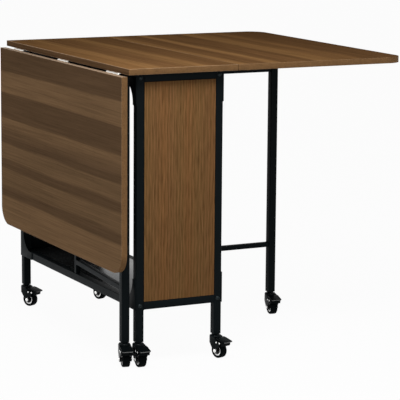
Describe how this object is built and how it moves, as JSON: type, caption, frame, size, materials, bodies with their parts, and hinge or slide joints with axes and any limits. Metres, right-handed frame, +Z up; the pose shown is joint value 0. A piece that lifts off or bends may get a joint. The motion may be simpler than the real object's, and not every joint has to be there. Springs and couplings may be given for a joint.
{
  "type": "folding table with wheels",
  "caption": "Drop-leaf gate-leg table on casters: narrow open cabinet frame with end panels and shelf, one leaf raised on its swung-out gate, the other leaf hanging over its folded gate.",
  "frame": {"origin": "middle of the bounding box at rest, at floor level", "axes": "+Z up, +X towards the raised leaf, -Y towards the near end of the table, millimetres in the source and metres in the row"},
  "size_m": [0.7998, 0.819, 0.74],
  "materials": {
    "walnut_laminate": "satin walnut laminate on particle board, with matching edge band",
    "black_laminate": "smooth black laminate",
    "black_paint": "fine satin black powder coat on steel",
    "zinc_steel": "bright zinc plated steel",
    "black_plastic": "moulded satin black plastic",
    "white_nylon": "moulded white nylon",
    "black_rubber": "matt black rubber"
  },
  "bodies": {
    "cabinet": {"centre_top": "walnut_laminate", "near_end_frame": "black_paint", "far_end_frame": "black_paint", "near_end_panel": "walnut_laminate", "far_end_panel": "walnut_laminate", "top_rails": "black_paint", "bottom_rails": "black_paint", "bottom_shelf": "black_laminate", "corner_plates": "black_paint", "frame_bolts": "black_paint", "cabinet_screws": "zinc_steel", "panel_hinge_plates": "zinc_steel", "hinge_pins": "zinc_steel", "gate_pivot_pins": "black_paint", "post_caster_stems": "black_paint"},
    "left_leaf": {"left_leaf": "walnut_laminate", "left_leaf_hinge_plates": "zinc_steel", "left_leaf_screws": "zinc_steel", "left_leaf_stop": "black_plastic"},
    "right_leaf": {"right_leaf": "walnut_laminate", "right_leaf_hinge_plates": "zinc_steel", "right_leaf_screws": "zinc_steel", "right_leaf_stop": "black_plastic"},
    "left_gate": {"left_gate_frame": "black_paint", "left_gate_cap": "black_plastic", "left_gate_caster_stem": "black_paint"},
    "right_gate": {"right_gate_frame": "black_paint", "right_gate_cap": "black_plastic", "right_gate_caster_stem": "black_paint"},
    "near_left_caster": {"near_left_caster_fork": "black_paint", "near_left_caster_pins": "zinc_steel"},
    "near_left_wheel": {"near_left_caster_hub": "white_nylon", "near_left_caster_tyre": "black_rubber"},
    "near_left_brake": {"near_left_caster_brake": "black_plastic"},
    "near_right_caster": {"near_right_caster_fork": "black_paint", "near_right_caster_pins": "zinc_steel"},
    "near_right_wheel": {"near_right_caster_hub": "white_nylon", "near_right_caster_tyre": "black_rubber"},
    "near_right_brake": {"near_right_caster_brake": "black_plastic"},
    "far_left_caster": {"far_left_caster_fork": "black_paint", "far_left_caster_pins": "zinc_steel"},
    "far_left_wheel": {"far_left_caster_hub": "white_nylon", "far_left_caster_tyre": "black_rubber"},
    "far_left_brake": {"far_left_caster_brake": "black_plastic"},
    "far_right_caster": {"far_right_caster_fork": "black_paint", "far_right_caster_pins": "zinc_steel"},
    "far_right_wheel": {"far_right_caster_hub": "white_nylon", "far_right_caster_tyre": "black_rubber"},
    "far_right_brake": {"far_right_caster_brake": "black_plastic"},
    "left_gate_caster": {"left_gate_caster_fork": "black_paint", "left_gate_caster_pins": "zinc_steel"},
    "left_gate_wheel": {"left_gate_caster_hub": "white_nylon", "left_gate_caster_tyre": "black_rubber"},
    "left_gate_brake": {"left_gate_caster_brake": "black_plastic"},
    "right_gate_caster": {"right_gate_caster_fork": "black_paint", "right_gate_caster_pins": "zinc_steel"},
    "right_gate_wheel": {"right_gate_caster_hub": "white_nylon", "right_gate_caster_tyre": "black_rubber"},
    "right_gate_brake": {"right_gate_caster_brake": "black_plastic"}
  },
  "joints": [
    {"name": "left_leaf_hinge", "type": "hinge", "parent": "cabinet", "child": "left_leaf", "pos_m": [-0.3816, 0.00946, 0.7217], "axis": [0, 1, 0], "range_deg": [0, 90]},
    {"name": "right_leaf_hinge", "type": "hinge", "parent": "cabinet", "child": "right_leaf", "pos_m": [-0.0856, 0.00946, 0.7217], "axis": [0, -1, 0], "range_deg": [0, 3]},
    {"name": "left_gate_pivot", "type": "hinge", "parent": "cabinet", "child": "left_gate", "pos_m": [-0.3441, 0.00946, 0.162], "axis": [0, 0, -1], "range_deg": [-0.3, 0.3]},
    {"name": "right_gate_pivot", "type": "hinge", "parent": "cabinet", "child": "right_gate", "pos_m": [-0.1231, 0.00946, 0.162], "axis": [0, 0, -1], "range_deg": [-84, 0]},
    {"name": "near_left_caster_swivel", "type": "hinge", "parent": "cabinet", "child": "near_left_caster", "pos_m": [-0.3406, -0.36054, 0.061], "axis": [0, 0, 1], "range_deg": [-10, 176]},
    {"name": "near_left_wheel_spin", "type": "hinge", "parent": "near_left_caster", "child": "near_left_wheel", "pos_m": [-0.34109, -0.37453, 0.0195], "axis": [0.9994, -0.0349, 0], "continuous": true},
    {"name": "near_left_brake_pedal", "type": "hinge", "parent": "near_left_caster", "child": "near_left_brake", "pos_m": [-0.34125, -0.37903, 0.0418], "axis": [0.9994, -0.0349, 0], "range_deg": [0, 13]},
    {"name": "near_right_caster_swivel", "type": "hinge", "parent": "cabinet", "child": "near_right_caster", "pos_m": [-0.1266, -0.36054, 0.061], "axis": [0, 0, 1], "continuous": true},
    {"name": "near_right_wheel_spin", "type": "hinge", "parent": "near_right_caster", "child": "near_right_wheel", "pos_m": [-0.12251, -0.37393, 0.0195], "axis": [0.9563, 0.2924, 0], "continuous": true},
    {"name": "near_right_brake_pedal", "type": "hinge", "parent": "near_right_caster", "child": "near_right_brake", "pos_m": [-0.12119, -0.37823, 0.0418], "axis": [0.9563, 0.2924, 0], "range_deg": [0, 13]},
    {"name": "far_left_caster_swivel", "type": "hinge", "parent": "cabinet", "child": "far_left_caster", "pos_m": [-0.3406, 0.37946, 0.061], "axis": [0, 0, 1], "continuous": true},
    {"name": "far_left_wheel_spin", "type": "hinge", "parent": "far_left_caster", "child": "far_left_wheel", "pos_m": [-0.33381, 0.36721, 0.0195], "axis": [0.8746, 0.4848, 0], "continuous": true},
    {"name": "far_left_brake_pedal", "type": "hinge", "parent": "far_left_caster", "child": "far_left_brake", "pos_m": [-0.33163, 0.36328, 0.0418], "axis": [0.8746, 0.4848, 0], "range_deg": [0, 13]},
    {"name": "far_right_caster_swivel", "type": "hinge", "parent": "cabinet", "child": "far_right_caster", "pos_m": [-0.1266, 0.37946, 0.061], "axis": [0, 0, -1], "continuous": true},
    {"name": "far_right_wheel_spin", "type": "hinge", "parent": "far_right_caster", "child": "far_right_wheel", "pos_m": [-0.12227, 0.36614, 0.0195], "axis": [0.9511, 0.309, 0], "continuous": true},
    {"name": "far_right_brake_pedal", "type": "hinge", "parent": "far_right_caster", "child": "far_right_brake", "pos_m": [-0.12088, 0.36186, 0.0418], "axis": [0.9511, 0.309, 0], "range_deg": [0, 13]},
    {"name": "left_gate_caster_swivel", "type": "hinge", "parent": "left_gate", "child": "left_gate_caster", "pos_m": [-0.37137, -0.34499, 0.061], "axis": [0, 0, 1], "range_deg": [-210, 8]},
    {"name": "left_gate_wheel_spin", "type": "hinge", "parent": "left_gate_caster", "child": "left_gate_wheel", "pos_m": [-0.37476, -0.35858, 0.0195], "axis": [0.9703, -0.2419, 0], "continuous": true},
    {"name": "left_gate_brake_pedal", "type": "hinge", "parent": "left_gate_caster", "child": "left_gate_brake", "pos_m": [-0.37585, -0.36294, 0.0418], "axis": [0.9703, -0.2419, 0], "range_deg": [0, 13]},
    {"name": "right_gate_caster_swivel", "type": "hinge", "parent": "right_gate", "child": "right_gate_caster", "pos_m": [0.2324, 0.00946, 0.061], "axis": [0, 0, 1], "continuous": true},
    {"name": "right_gate_wheel_spin", "type": "hinge", "parent": "right_gate_caster", "child": "right_gate_wheel", "pos_m": [0.23118, -0.00449, 0.0195], "axis": [0.9962, -0.0872, 0], "continuous": true},
    {"name": "right_gate_brake_pedal", "type": "hinge", "parent": "right_gate_caster", "child": "right_gate_brake", "pos_m": [0.23079, -0.00897, 0.0418], "axis": [0.9962, -0.0872, 0], "range_deg": [0, 13]}
  ]
}
